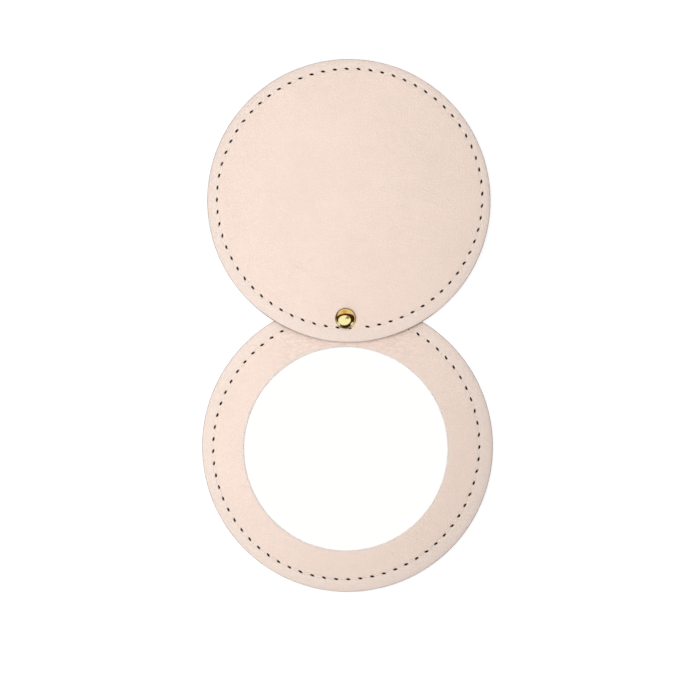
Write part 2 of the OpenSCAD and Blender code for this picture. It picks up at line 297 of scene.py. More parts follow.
# span of the noise that paints shade of puckers outside the seam
PUCKER_SPAN = (0.52, 0.62)
BROAD_TONES = (0.985, 1.012)
BROAD_SPAN = (0.35, 0.65)

# Other textures: depths in millimetres, and spans and shares of their noise
NOISE_SPAN = (0.2, 0.8)
HAZE_SPAN = (0.3, 0.7)
FLECK_SPAN = (0.62, 0.7)
FLECK_SHARE = 0.5
FIBRE_DEPTH = 0.01
BOARD_DEPTH = 0.05
HAIRLINE_DEPTH = 0.0006
PLASTIC_DEPTH = 0.01
PLASTIC_TONE = 0.93

# Gloss and ranges of roughness
FALLING = (1.0, 0.0)
LEATHER_ROUGHNESS = (0.46, 0.6)
LEATHER_GLOSS = 0.42
THREAD_ROUGHNESS = (0.5, 0.75)
THREAD_GLOSS = 0.5
THREAD_SHEEN = 0.6
SHEEN_SPAN = (0.0, 0.5)
SHEEN_ROUGHNESS = 0.5
BOARD_ROUGHNESS = (0.8, 0.95)
GOLD_ROUGHNESS = (0.05, 0.12)
MIRROR_ROUGHNESS = (0.0, 0.02)
PLASTIC_ROUGHNESS = (0.35, 0.5)


@dataclass
class Seam:
    """One row of needle holes: x, y and direction of each slit, and whether the row is a ring."""

    holes: np.ndarray
    closed: bool
    centre: tuple
    radius: float
    drift: tuple

    def stitches(self):
        """Start and end of each stitch's visible run."""
        ahead = LEG_AT * np.column_stack([np.cos(self.holes[:, 2]), np.sin(self.holes[:, 2])])
        starts = self.holes[:, :2] + ahead
        ends = np.roll(self.holes[:, :2] - ahead, -1, axis=0)
        return (starts, ends) if self.closed else (starts[:-1], ends[:-1])


@dataclass
class Disc:
    """One leather disc: where its glued face lies, which way it faces and what is cut in it."""

    node: str
    body: str
    centre: tuple
    turn: float
    radius: float
    thickness: float
    glued_z: float
    side: int
    stack: float
    seam: Seam
    pivot: tuple
    window: tuple = None
    dimple: bool = False

    def bore_r(self):
        """Radius of the rivet's cut in the grain side."""
        return DIMPLE_R if self.dimple else SHANK_HOLE_R


def polar(radius, angle):
    """Points at a radius and an angle."""
    return np.stack([radius * np.cos(angle), radius * np.sin(angle)], axis=-1)


def circle(centre, radius, count):
    """A closed loop of points, counter-clockwise."""
    return np.asarray(centre) + polar(radius, np.arange(count) * TURN / count)


def drifted(radius, drift, angle):
    """Radius of a seam that drifts out of round, out and in twice a turn."""
    reach, furthest = drift
    return radius + reach * np.cos(2 * (angle - furthest))


def needle_holes(centre, radius, drift, start, step, count):
    """Places and slit directions of a row of needle holes."""
    angle = start + step * np.arange(count)
    place = np.asarray(centre) + polar(drifted(radius, drift, angle), angle)
    wander = np.random.default_rng(RANDOM_SEED + count).normal(0, SLIT_WANDER, count)
    return np.column_stack([place, angle + TURN / 4 - SLIT_SLANT + wander])


def box_mm(node):
    """A node's lowest and highest corners in millimetres."""
    low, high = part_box(node)
    return np.array(low) / MM, np.array(high) / MM


def base_seam(radius, pivot_y, washer_r):
    """The base's open row of stitches, which stops on either side of the washer."""
    seam_r = radius - BASE_SEAM_INSET
    pivot_angle = math.atan2(pivot_y - BASE_SEAM_CENTRE[1], -BASE_SEAM_CENTRE[0])
    gap = 2 * math.asin((washer_r + BASE_SEAM_STOP) / seam_r)
    step = (TURN - gap) / BASE_STITCHES
    start = pivot_angle + gap / 2 + BASE_SEAM_SHIFT / seam_r
    holes = needle_holes(BASE_SEAM_CENTRE, seam_r, BASE_DRIFT, start, step, BASE_STITCHES + 1)
    return Seam(holes, False, BASE_SEAM_CENTRE, seam_r, BASE_DRIFT)


def cover_seam(radius, pivot_to_cover):
    """The cover's ring of stitches, closed by one long stitch beside the rivet."""
    seam_r = radius - COVER_SEAM_INSET
    pivot_angle = math.atan2(-pivot_to_cover - COVER_SEAM_CENTRE[1], -COVER_SEAM_CENTRE[0])
    step = (TURN - CLOSING_STITCH / seam_r) / COVER_STITCHES
    start = pivot_angle + COVER_SEAM_LEAD / seam_r
    holes = needle_holes(COVER_SEAM_CENTRE, seam_r, COVER_DRIFT, start, step, COVER_STITCHES + 1)
    return Seam(holes, True, COVER_SEAM_CENTRE, seam_r, COVER_DRIFT)


def half_width(node):
    """Half of a node's width in millimetres."""
    low, high = box_mm(node)
    return (high[0] - low[0]) / 2


def middle(node):
    """The middle of a node's box, seen from above, in millimetres."""
    low, high = box_mm(node)
    return (low + high)[:2] / 2


def leather_disc(node, side, **placed):
    """One leather disc, with its thickness and glued face read from its node's box."""
    low, high = box_mm(node)
    glued_z = low[2] if side > 0 else high[2]
    return Disc(node, side=side, thickness=high[2] - low[2], glued_z=glued_z, **placed)


def stack_height(lowest, highest):
    """Height from the underside of one node to the top of another."""
    return box_mm(highest)[1][2] - box_mm(lowest)[0][2]


def leather_discs():
    """The four leather discs, with their places read from the frame."""
    pivot = np.array(frame["joints"][0]["pos_m"][:2]) / MM
    base_r = half_width("base_front_leather")
    cover_r = half_width("cover_front_leather")
    cover_centre = middle("cover_front_leather")
    arm = cover_centre - pivot
    arm_len = math.hypot(*arm)
    in_base = {
        "body": "base",
        "centre": (0, 0),
        "turn": 0,
        "radius": base_r,
        "stack": stack_height("base_back_leather", "base_front_leather"),
        "seam": base_seam(base_r, pivot[1], half_width("pivot_washer")),
        "pivot": tuple(pivot),
    }
    in_cover = {
        "body": "cover",
        "centre": tuple(cover_centre),
        "turn": math.atan2(-arm[0], arm[1]),
        "radius": cover_r,
        "stack": stack_height("cover_lining", "cover_front_leather"),
        "seam": cover_seam(cover_r, arm_len),
        "pivot": (0, -arm_len),
    }
    window = (*middle("mirror_glass"), half_width("mirror_glass") - WINDOW_LAP)
    return [
        leather_disc("base_front_leather", 1, window=window, **in_base),
        leather_disc("base_back_leather", -1, dimple=True, **in_base),
        leather_disc("cover_front_leather", 1, **in_cover),
        leather_disc("cover_lining", -1, **in_cover),
    ]


def place(disc, xyz):
    """Moves points from a disc's own frame to the part's frame."""
    cos, sin = math.cos(disc.turn), math.sin(disc.turn)
    xy = xyz[:, :2] @ np.array([[cos, sin], [-sin, cos]]) + np.asarray(disc.centre)
    return np.column_stack([xy, disc.glued_z + disc.side * xyz[:, 2]])


class Shell:
    """Points, faces and point masks of one piece, grown patch by patch."""

    def __init__(self):
        self.points = []
        self.faces = []
        self.masks = []
        self.count = 0

    def add(self, xyz, **masks):
        """Adds points with their masks and returns their indices."""
        self.points.append(np.asarray(xyz, float))
        self.masks.append({name: np.broadcast_to(value, len(xyz)) for name, value in masks.items()})
        first = self.count
        self.count += len(xyz)
        return np.arange(first, self.count)

    def at(self, indices):
        """The points at some indices."""
        return np.vstack(self.points)[indices]

    def move(self, change):
        """Moves every point by a function of an array of points."""
        self.points = [change(part) for part in self.points]

    def bridge(self, upper, lower, closed=True):
        """Joins two rows of points with four-sided faces."""
        if closed:
            upper, lower = np.append(upper, upper[0]), np.append(lower, lower[0])
        quads = np.column_stack([upper[:-1], lower[:-1], lower[1:], upper[1:]])
        self.faces.extend(quads.tolist())

    def patch(self, indices, triangles, flip=False):
        """Adds triangles over points that are already there."""
        corners = indices[np.asarray(triangles)]
        self.faces.extend((corners[:, ::-1] if flip else corners).tolist())


def new_object(name, data):
    """An object of the scene that holds a mesh, a lens or a light."""
    made = bpy.data.objects.new(name, data)
    bpy.context.scene.collection.objects.link(made)
    return made


def new_piece(name, shell, material, flip=False):
    """Makes the object of a shell, in metres, with its masks as point attributes."""
    points = np.vstack(shell.points)
    faces = [face[::-1] for face in shell.faces] if flip else shell.faces
    mesh = bpy.data.meshes.new(name)
    mesh.from_pydata((points * MM).tolist(), [], faces)
    for mask_name in sorted({key for masks in shell.masks for key in masks}):
        values = np.concatenate([
            masks.get(mask_name, np.zeros(len(xyz))) for masks, xyz in zip(shell.masks, shell.points)
        ])
        attribute = mesh.attributes.new(mask_name, "FLOAT", "POINT")
        attribute.data.foreach_set("value", values.astype(np.float32))
    mesh.validate()
    mesh.shade_smooth()
    mesh.materials.append(material)
    return new_object(name, mesh)


def slit_half_width(along, length, width):
    """Half the width of a slit at a distance from its middle."""
    arc_r = (length * length + width * width) / (4 * width)
    inside = np.clip(arc_r * arc_r - along * along, 0, None)
    return np.maximum(np.sqrt(inside) - arc_r + width / 2, 0)


def slit_loop(hole, grow):
    """A slit's outline, clockwise, or a loop that runs round it at a distance."""
    length, width = SLIT_LEN + 2 * grow, SLIT_W + 2 * grow
    angle = -np.arange(SLIT_POINTS) * TURN / SLIT_POINTS
    along = length / 2 * np.cos(angle)
    across = np.sign(np.sin(angle)) * slit_half_width(along, length, width)
    cos, sin = math.cos(hole[2]), math.sin(hole[2])
    return hole[:2] + np.column_stack([along * cos - across * sin, along * sin + across * cos])


def slit_gap(seam, xy):
    """Distance of points from the nearest slit's outline, below zero inside it."""
    apart = xy[:, None, :] - seam.holes[None, :, :2]
    nearest = np.argmin((apart**2).sum(axis=2), axis=1)
    hole = seam.holes[nearest]
    offset = xy - hole[:, :2]
    cos, sin = np.cos(hole[:, 2]), np.sin(hole[:, 2])
    along = offset[:, 0] * cos + offset[:, 1] * sin
    across = offset[:, 1] * cos - offset[:, 0] * sin
    share = np.hypot(along / (SLIT_LEN / 2), across / (SLIT_W / 2)) + TINY
    return (share - 1) * np.hypot(along, across) / share


def thread_gap(seam, xy):
    """Distance of points from the nearest run of thread."""
    starts, ends = seam.stitches()
    run = ends - starts
    offset = xy[:, None, :] - starts[None, :, :]
    share = np.clip((offset * run).sum(axis=2) / (run**2).sum(axis=1), 0, 1)
    return np.linalg.norm(offset - share[..., None] * run, axis=2).min(axis=1)


def swell(xy, seed):
    """Slow rise and fall of hand-glued leather, from -1 to 1."""
    rng = np.random.default_rng(RANDOM_SEED + seed)
    total = np.zeros(len(xy))
    for wavelength in SWELL_WAVES:
        angle, phase = rng.uniform(0, TURN, 2)
        total += np.sin(TURN * (xy @ polar(1, angle)) / wavelength + phase)
    return total / len(SWELL_WAVES)


def peak(distance, at, spread):
    """1 at a distance, fading softly on both sides of it."""
    return np.exp(-(((distance - at) / spread) ** 2))


def ramp(value, start, end):
    """0 up to a start and 1 past an end, which may lie either way."""
    return np.clip((value - start) / (end - start), 0, 1)


def dip(distance, shape):
    """A soft dip of a depth and a half width."""
    depth, spread = shape
    return depth * peak(distance, 0, spread)


def rim_shade_share(disc, xy):
    """How much painted shade the cut edge has at some points' angles: only the cover's has, near the rivet.
    """
    if disc.node != "cover_front_leather":
        return np.zeros(len(xy))
    turned = np.arctan2(xy[:, 1], xy[:, 0]) - math.atan2(disc.pivot[1], disc.pivot[0])
    away = np.abs((turned + TURN / 2) % TURN - TURN / 2)
    return ramp(away, RIM_SHADE_FROM, RIM_SHADE_FULL) * ramp(away, RIM_SHADE_END, RIM_SHADE_FADE)


def leather_top(disc, xy):
    """Height of a disc's grain side above its glued face, and the masks of its tint and grain: painted shade
    and highlight at thread, slits, window and cut edge, and a paler band outside the seam.
    """
    radius = np.hypot(xy[:, 0], xy[:, 1])
    band = np.clip(radius - (disc.radius - RIM_BAND_W), 0, None)
    crown_r = (RIM_BAND_W**2 + RIM_DROP**2) / (2 * RIM_DROP)
    z = disc.thickness - crown_r + np.sqrt(crown_r**2 - band**2)
    to_thread = thread_gap(disc.seam, xy)
    to_slit = slit_gap(disc.seam, xy)
    past_slit = np.clip(to_slit, 0, None)
    z -= dip(to_thread, THREAD_GROOVE) + dip(to_thread, SEAM_PULL)
    z -= dip(past_slit, SLIT_LIP)
    z += SWELL_H * ramp(disc.radius - radius, 0, RIM_BAND_W) * swell(xy, seed=len(disc.node))
    from_seam = np.linalg.norm(xy - disc.seam.centre, axis=1) - disc.seam.radius
    masks = {
        # painted shade beside the thread
        "welt": peak(to_thread, *THREAD_SHADE),
        # painted shade at the slits' rims
        "stain": peak(past_slit, 0, SLIT_SHADE_W),
        # painted highlight round the slits
        "glint": peak(to_slit, *SLIT_GLINT),
        "outside": ramp(from_seam, 0, OUTSIDE_W),
        # painted shade on the cover's cut edge near the rivet
        "soiled": rim_shade_share(disc, xy) * ramp(disc.radius - radius, RIM_SHADE_W, 0),
        "grain": BASE_GRAIN_SHARE if disc.body == "base" else 1,
    }
    if disc.window:
        lap = np.linalg.norm(xy - disc.window[:2], axis=1) - disc.window[2]
        z -= WINDOW_DROP * ramp(lap, WINDOW_BAND_W, 0) ** 2
        fully, ends = CREASED_R
        # painted shade at the window's turned edge
        masks["sill"] = ramp(lap - WINDOW_TURN_W, SILL_W, 0)
        masks["creased"] = ramp(np.linalg.norm(xy - disc.pivot, axis=1), ends, fully)
    return z, masks


def ring_points(centre, radii, spacing):
    """Points on rings, each turned a little from the last, at about even distances."""
    rings = []
    for index, radius in enumerate(radii):
        count = max(FEWEST_POINTS, round(TURN * radius / spacing))
        angle = (np.arange(count) + RING_PHASE * (index % 2)) * TURN / count
        rings.append(np.asarray(centre) + polar(radius, angle))
    return np.vstack(rings)


def seam_points(seam):
    """Close rows of points along a seam, which carry its groove."""
    near = np.array(SEAM_ROWS)
    offsets = np.concatenate([-near[::-1], [0], near])
    count = round(TURN * seam.radius / SEAM_SPACING)
    angle = (np.arange(count) + SEAM_PHASE) * TURN / count
    radius = drifted(seam.radius, seam.drift, angle)
    return np.vstack([np.asarray(seam.centre) + polar(radius + offset, angle) for offset in offsets])


def triangulate(loops, loose=None):
    """Triangles over closed loops and loose points, counter-clockwise."""
    points = np.vstack(loops if loose is None else [*loops, loose])
    edges, first = [], 0
    for loop in loops:
        edges += [(first + i, first + (i + 1) % len(loop)) for i in range(len(loop))]
        first += len(loop)
    found = delaunay_2d_cdt([Vector(p) for p in points], edges, [], 0, MERGE_WITHIN, True)
    if len(found[0]) != len(points) or any(ids != [i] for i, ids in enumerate(found[3])):
        raise ValueError("the outline's points were merged or moved")
    return points, np.array(found[2])


def within(points, loops):
    """Which points lie inside any of the closed loops."""
    inside = np.zeros(len(points), bool)
    for loop in loops:
        low, high = loop.min(axis=0), loop.max(axis=0)
        near = np.flatnonzero(((points > low) & (points < high)).all(axis=1))
        x, y = points[near].T
        ahead = np.roll(loop, -1, axis=0)
        hit = np.zeros(len(near), bool)
        for (x1, y1), (x2, y2) in zip(loop, ahead):
            if y1 != y2:
                crosses = (y1 > y) != (y2 > y)
                hit ^= crosses & (x < (x2 - x1) * (y - y1) / (y2 - y1) + x1)
        inside[near] |= hit
    return inside


def leather_points(disc):
    """Loose points over a disc's grain side: dense at seam, rim and window, wider elsewhere."""
    seam = disc.seam
    field_radii = np.arange(FIELD_SPACING, seam.radius - FIELD_INSET, FIELD_SPACING)
    field = ring_points((0, 0), field_radii, FIELD_SPACING)
    to_seam = seam.radius - np.linalg.norm(field - seam.centre, axis=1)
    rim = ring_points((0, 0), disc.radius - EDGE_START - np.array(RIM_ROWS), RIM_SPACING)
    past_seam = np.linalg.norm(rim - seam.centre, axis=1) - seam.radius
    parts = [field[to_seam > SEAM_CLEAR_INSIDE], seam_points(seam), rim[past_seam > SEAM_CLEAR_OUTSIDE]]
    if disc.window:
        turned_r = disc.window[2] + WINDOW_TURN_W
        parts.append(ring_points(disc.window[:2], turned_r + np.array(WINDOW_ROWS), WINDOW_SPACING))
    loose = np.vstack(parts)
    clear = slit_gap(seam, loose) > SLIT_CLEAR
    clear &= np.linalg.norm(loose - disc.pivot, axis=1) > disc.bore_r() + BORE_CLEAR
    if disc.window:
        clear &= np.linalg.norm(loose - disc.window[:2], axis=1) > turned_r + WINDOW_CLEAR
    lips = [slit_loop(hole, grow) for hole in seam.holes for grow in SLIT_ROWS]
    return np.vstack([loose[clear], *lips])


def wall(shell, top, xy, centre, profile, **masks):
    """Rows of points down the wall of a round cut or rim, and the indices of the last one."""
    outward = xy - np.asarray(centre)
    outward /= np.linalg.norm(outward, axis=1)[:, None]
    row = top
    for radius, height in profile:
        ring = np.column_stack([np.asarray(centre) + radius * outward, np.full(len(xy), height)])
        below = shell.add(ring, **masks)
        shell.bridge(row, below)
        row = below
    return row


def slit_wall(shell, top, hole, xyz):
    """The wall of a needle slit, which closes up from the grain side down to the glued face."""
    row = top
    along = polar(1, hole[2])
    across = np.array([-along[1], along[0]])
    offset = xyz[:, :2] - hole[:2]
    lengthways = hole[:2] + np.outer(offset @ along, along)
    sideways = np.outer(offset @ across, across)
    for height_share, width_share in SLIT_CLOSING_SHARES:
        ring = np.column_stack([lengthways + width_share * sideways, height_share * xyz[:, 2]])
        # the slit's wall carries painted shade
        below = shell.add(ring, stain=1, wall=1)
        shell.bridge(row, below)
        row = below
    return row


def rim_profile(disc, top_z):
    """Radius and height of the rows round a disc's cut edge."""
    start = math.asin((top_z - EDGE_WAIST) / EDGE_ROUND)
    angles = np.linspace(start, -math.asin(EDGE_WAIST / EDGE_ROUND), EDGE_STEPS)[1:]
    return [
        (disc.radius - EDGE_ROUND + EDGE_ROUND * math.cos(a), EDGE_WAIST + EDGE_ROUND * math.sin(a))
        for a in angles
    ]


def window_profile(disc, top_z):
    """Radius and height of the rows round the window's turned edge."""
    radius = disc.window[2]
    rise = top_z - WINDOW_WAIST
    angles = np.linspace(0, TURN / 4, WINDOW_STEPS)[1:]
    turned = [(radius + WINDOW_TURN_W * (1 - math.sin(a)), WINDOW_WAIST + rise * math.cos(a)) for a in angles]
    return [*turned, (radius, 0)]


def bore_profile(disc):
    """Radius and height of the rows down the rivet's hole, with the dimple of its flat head."""
    if not disc.dimple:
        return [(SHANK_HOLE_R, disc.thickness / 2), (SHANK_HOLE_R, 0)]
    seat_z = disc.thickness - DIMPLE_DEPTH
    seat = [(DIMPLE_R, seat_z + DIMPLE_BEVEL), (DIMPLE_R - DIMPLE_BEVEL, seat_z)]
    return [*seat, (SHANK_HOLE_R, seat_z), (SHANK_HOLE_R, 0)]


def leather_piece(disc, material):
    """One leather disc as a closed shell with real needle slits and rounded edges."""
    shell = Shell()
    outer = circle((0, 0), disc.radius - EDGE_START, RIM_POINTS)
    bore = circle(disc.pivot, disc.bore_r(), BORE_POINTS)[::-1]
    slits = [slit_loop(hole, 0) for hole in disc.seam.holes]
    cuts = [bore, *slits]
    if disc.window:
        cuts.append(circle(disc.window[:2], disc.window[2] + WINDOW_TURN_W, WINDOW_POINTS)[::-1])
    loops = [outer, *cuts]
    xy, triangles = triangulate(loops, leather_points(disc))
    z, masks = leather_top(disc, xy)
    top = shell.add(np.column_stack([xy, z]), **masks)
    shell.patch(top, triangles[~within(xy[triangles].mean(axis=1), cuts)])

    ends = np.cumsum([len(loop) for loop in loops])
    rows = np.split(top[:ends[-1]], ends[:-1])
    # the cut edge's rows carry painted shade near the rivet
    profile, soiled = rim_profile(disc, float(z[rows[0]].mean())), rim_shade_share(disc, outer)
    bottoms = [wall(shell, rows[0], outer, (0, 0), profile, edge=1, soiled=soiled)]
    bottoms.append(wall(shell, rows[1], bore, disc.pivot, bore_profile(disc)))
    for row, hole, slit in zip(rows[2:], disc.seam.holes, slits):
        bottoms.append(slit_wall(shell, row, hole, np.column_stack([slit, z[row]])))
    if disc.window:
        profile = window_profile(disc, float(z[rows[-1]].mean()))
        # the window's turned edge carries painted shade
        bottoms.append(wall(shell, rows[-1], cuts[-1], disc.window[:2], profile, sill=1))

    flat_loops = [shell.at(row)[:, :2] for row in bottoms]
    flat, triangles = triangulate(flat_loops)
    kept = triangles[~within(flat[triangles].mean(axis=1), flat_loops[1:])]
    shell.patch(np.concatenate(bottoms), kept, flip=True)
    shell.move(lambda xyz: place(disc, xyz))
    piece = new_piece(disc.node + "_skin", shell, material, flip=disc.side < 0)
    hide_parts(disc.node)
    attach(piece, disc.body)


def thread_route(disc):
    """Middle line of a seam's thread in the disc's own frame, from slit to slit."""
    starts, ends = disc.seam.stitches()
    run_z = disc.thickness - THREAD_SINK
    loop_z = disc.thickness - disc.stack / 2 + LOOP_RISE
    dive = np.linspace(0, TURN / 4, DIP_STEPS)
    leg = np.linspace(loop_z, run_z - DIP_R, LEG_STEPS)[:-1]
    loop = np.linspace(0, TURN / 2, LOOP_STEPS)[1:-1]
    climb_along = np.concatenate([0 * leg, DIP_R * (1 - np.cos(dive))])
    climb_z = np.concatenate([leg, run_z - DIP_R * (1 - np.sin(dive))])
    holes = disc.seam.holes
    parts = []
    for index, (start, end) in enumerate(zip(starts, ends)):
        length = np.linalg.norm(end - start)
        ahead = (end - start) / length
        run = np.linspace(DIP_R, length - DIP_R, 2 + round(length / THREAD_STEP))[1:-1]
        bow = THREAD_BOW * np.sin((run - DIP_R) / (length - 2 * DIP_R) * TURN / 2)
        along = np.concatenate([climb_along, run, length - climb_along[::-1]])
        height = np.concatenate([climb_z, run_z + bow, climb_z[::-1]])
        parts.append(np.column_stack([start + along[:, None] * ahead, height]))
        if disc.seam.closed or index < len(starts) - 1:
            hole = holes[(index + 1) % len(holes)]
            across = -LEG_AT * np.cos(loop)[:, None] * polar(1, hole[2])
            parts.append(np.column_stack([hole[:2] + across, loop_z - LEG_AT * np.sin(loop)]))
    return np.vstack(parts)


def unit(vectors):
    """Vectors scaled to length 1."""
    return vectors / np.linalg.norm(vectors, axis=-1, keepdims=True)


def carried_sides(tangents):
    """A sideways direction at each point of a route, carried along it without spin."""
    side = unit(np.cross(tangents[0], START_SIDE))
    sides = []
    for tangent in tangents:
        side = unit(side - side @ tangent * tangent)
        sides.append(side)
    return np.array(sides)


def thread_piece(disc, node, material):
    """One seam's thread: plies that twist round the route from end to end."""
    route = thread_route(disc)
    tangents = unit(np.gradient(route, axis=0))
    sides = carried_sides(tangents)
    ups = np.cross(tangents, sides)

    def around(angle):
        """Directions off the route at an angle round it."""
        return np.cos(angle)[:, None] * sides + np.sin(angle)[:, None] * ups

    travelled = np.concatenate([[0], np.cumsum(np.linalg.norm(np.diff(route, axis=0), axis=1))])
    below_run = disc.thickness - THREAD_SINK - route[:, 2]
    shell = Shell()
    for ply in range(PLIES):
        lean = TURN * travelled / TWIST_PITCH + ply * TURN / PLIES
        middle_line = route + PLY_OFFSET * around(lean)
        rows = []
        for side in range(PLY_SIDES):
            ring = middle_line + PLY_R * around(lean + side * TURN / PLY_SIDES)
            rows.append(shell.add(ring, deep=ramp(below_run, DEEP_FROM, DEEP_FULL)))
        for row, following in zip(rows, rows[1:] + rows[:1]):
            shell.bridge(row, following, closed=False)
        shell.faces.append([row[0] for row in rows[::-1]])
        shell.faces.append([row[-1] for row in rows])
    shell.move(lambda xyz: place(disc, xyz))
    piece = new_piece(node + "_twist", shell, material, flip=disc.side < 0)
    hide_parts(node)
    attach(piece, disc.body)


def revolve(profile, centre, reflection_share):
    """A closed shell that turns a profile round a vertical axis, with a mask by row and angle."""
    shell = Shell()
    rows = []
    for index, (radius, height) in enumerate(profile):
        xy = circle(centre, radius, CAP_SEGMENTS) if radius else np.array([centre])
        angle = np.arange(len(xy)) * TURN / CAP_SEGMENTS
        ring = np.column_stack([xy, np.full(len(xy), height)])
        rows.append(shell.add(ring, foot=reflection_share(index, angle)))
    for upper, lower in zip(rows, rows[1:]):
        if len(upper) == 1:
            shell.faces += [[upper[0], a, b] for a, b in zip(lower, np.roll(lower, -1))]
        elif len(lower) == 1:
            shell.faces += [[a, lower[0], b] for a, b in zip(upper, np.roll(upper, -1))]
        else:
            shell.bridge(upper, lower)
    return shell


def dome(radius, height, side_end, steps):
    """Profile of a dome from its top: a crown arc that runs on into a rounder side arc."""
    rise = height - CAP_WAIST
    side_r = CAP_SIDE_SHARE * rise
    side_x = radius - side_r
    crown_r = (side_x**2 + rise**2 - side_r**2) / (2 * (rise - side_r))
    meet = math.atan2(side_x, crown_r - rise)
    crown = np.linspace(0, meet, steps[0])
    side = np.linspace(meet, side_end, steps[1])[1:]
    arcs = [(crown_r * math.sin(a), height - crown_r * (1 - math.cos(a))) for a in crown]
    return arcs + [(side_x + side_r * math.sin(a), CAP_WAIST + side_r * math.cos(a)) for a in side]


def foot_dark_reflection(row, angle):
    """How dark the painted reflection makes the cap's gold near its foot, which varies round it."""
    first, last = FOOT_ROWS
    dark = sum(peak(angle, *side) for side in DARK_SIDES)
    spared = sum(peak(angle, *side) for side in SPARED_SIDES)
    share = np.clip((row - first + DARK_CLIMB * dark) / (last - first), 0, 1)
    return share * (FOOT_SHARE + (1 - FOOT_SHARE) * dark) * (1 - SPARED_SHARE * spared)


def cap_piece(material):
    """The rivet's pressed cap: a thin dome with the tube inside that grips the stem."""
    low, high = box_mm("rivet_cap")
    radius, height = half_width("rivet_cap"), high[2] - low[2]
    outside = dome(radius, height, TURN / 4 + math.asin(CAP_WAIST / CAP_UNDERCUT_R), CAP_STEPS)
    inside = dome(radius - CAP_WALL, height - CAP_WALL, TURN / 4, CAP_INNER_STEPS)[::-1]
    inside = [(r, z) for r, z in inside if r > CAP_TUBE_R]
    profile = [
        *outside,
        (outside[-1][0] - CAP_LIP_W, 0.0),
        (radius - CAP_WALL - CAP_LIP_BEVEL, CAP_LIP_BEVEL),
        *inside,
        (CAP_TUBE_R, inside[-1][1] + CAP_TUBE_ROOT),
        (CAP_TUBE_R, CAP_TUBE_LIFT),
        (CAP_SOCKET_R, CAP_TUBE_LIFT),
        (CAP_SOCKET_R, height - CAP_SOCKET_ROOF),
        (0, height - CAP_SOCKET_ROOF),
    ]
    shell = revolve([(r, low[2] + z) for r, z in profile], middle("rivet_cap"), foot_dark_reflection)
    piece = new_piece("rivet_cap_dome", shell, material)
    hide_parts("rivet_cap")
    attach(piece, "base")


def srgb(colour):
    """A colour written from 0 to 255, as the shaders want it."""
    shares = [value / 255 for value in colour]
    linear = [share / 12.92 if share <= 0.04045 else ((share + 0.055) / 1.055) ** 2.4 for share in shares]
    return (*linear, 1)


def shaded(colour, factor):
    """A colour made darker or lighter."""
    return (*[channel * factor for channel in colour[:3]], 1)


def grey(level):
    """A neutral colour."""
    return (level, level, level, 1)


def connect(tree, shader_node, sockets):
    """Sets a node's inputs, by name or number, each to a value or to another node's output."""
    for key, value in sockets.items():
        if isinstance(value, bpy.types.NodeSocket):
            tree.links.new(value, shader_node.inputs[key])
        else:
            shader_node.inputs[key].default_value = value


def new_node(tree, kind, sockets=None, **settings):
    """Adds a shader node with its settings and its inputs."""
    made = tree.nodes.new("ShaderNode" + kind)
    for name, value in settings.items():
        setattr(made, name, value)
    connect(tree, made, sockets or {})
    return made


def new_material(name):
    """An empty material, its node tree and the place of the point that is shaded."""
    material = bpy.data.materials.new(name)
    material.use_nodes = True
    tree = material.node_tree
    return material, tree, new_node(tree, "TexCoord").outputs["Object"]


def surface(tree, sockets):
    """Sets inputs of a material's surface shader."""
    connect(tree, tree.nodes["Principled BSDF"], sockets)


def mask(tree, name):
    """The value of a point mask."""
    return new_node(tree, "Attribute", attribute_name=name).outputs["Fac"]


def mixed(tree, share, first, second):
    """A colour between two colours, by a share."""
    return new_node(tree, "Mix", {"Factor": share, 6: first, 7: second}, data_type="RGBA").outputs[2]


def ranged(tree, value, span, reach=(0.0, 1.0)):
    """A value mapped from a span to a reach, held at their ends."""
    sockets = {"Value": value, "From Min": span[0], "From Max": span[1]}
    sockets |= {"To Min": reach[0], "To Max": reach[1]}
    return new_node(tree, "MapRange", sockets).outputs["Result"]


def maths(tree, operation, first, second):
    """Two values joined by an operation."""
    return new_node(tree, "Math", {0: first, 1: second}, operation=operation).outputs[0]


def times(tree, first, second):
    """The product of two values."""
    return maths(tree, "MULTIPLY", first, second)


def noise(tree, where, size, detail=2.0, roughness=0.5, output="Fac"):
    """Noise whose features have a size in millimetres."""
    sockets = {"Vector": where, "Scale": 1 / (size * MM), "Detail": detail, "Roughness": roughness}
    return new_node(tree, "TexNoise", sockets).outputs[output]


def bumped(tree, height, depth, over=None):
    """A normal from a height that runs from 0 to 1 over a depth in millimetres."""
    sockets = {"Height": height, "Distance": depth * MM, "Strength": 1.0}
    if over is not None:
        sockets["Normal"] = over
    return new_node(tree, "Bump", sockets).outputs["Normal"]


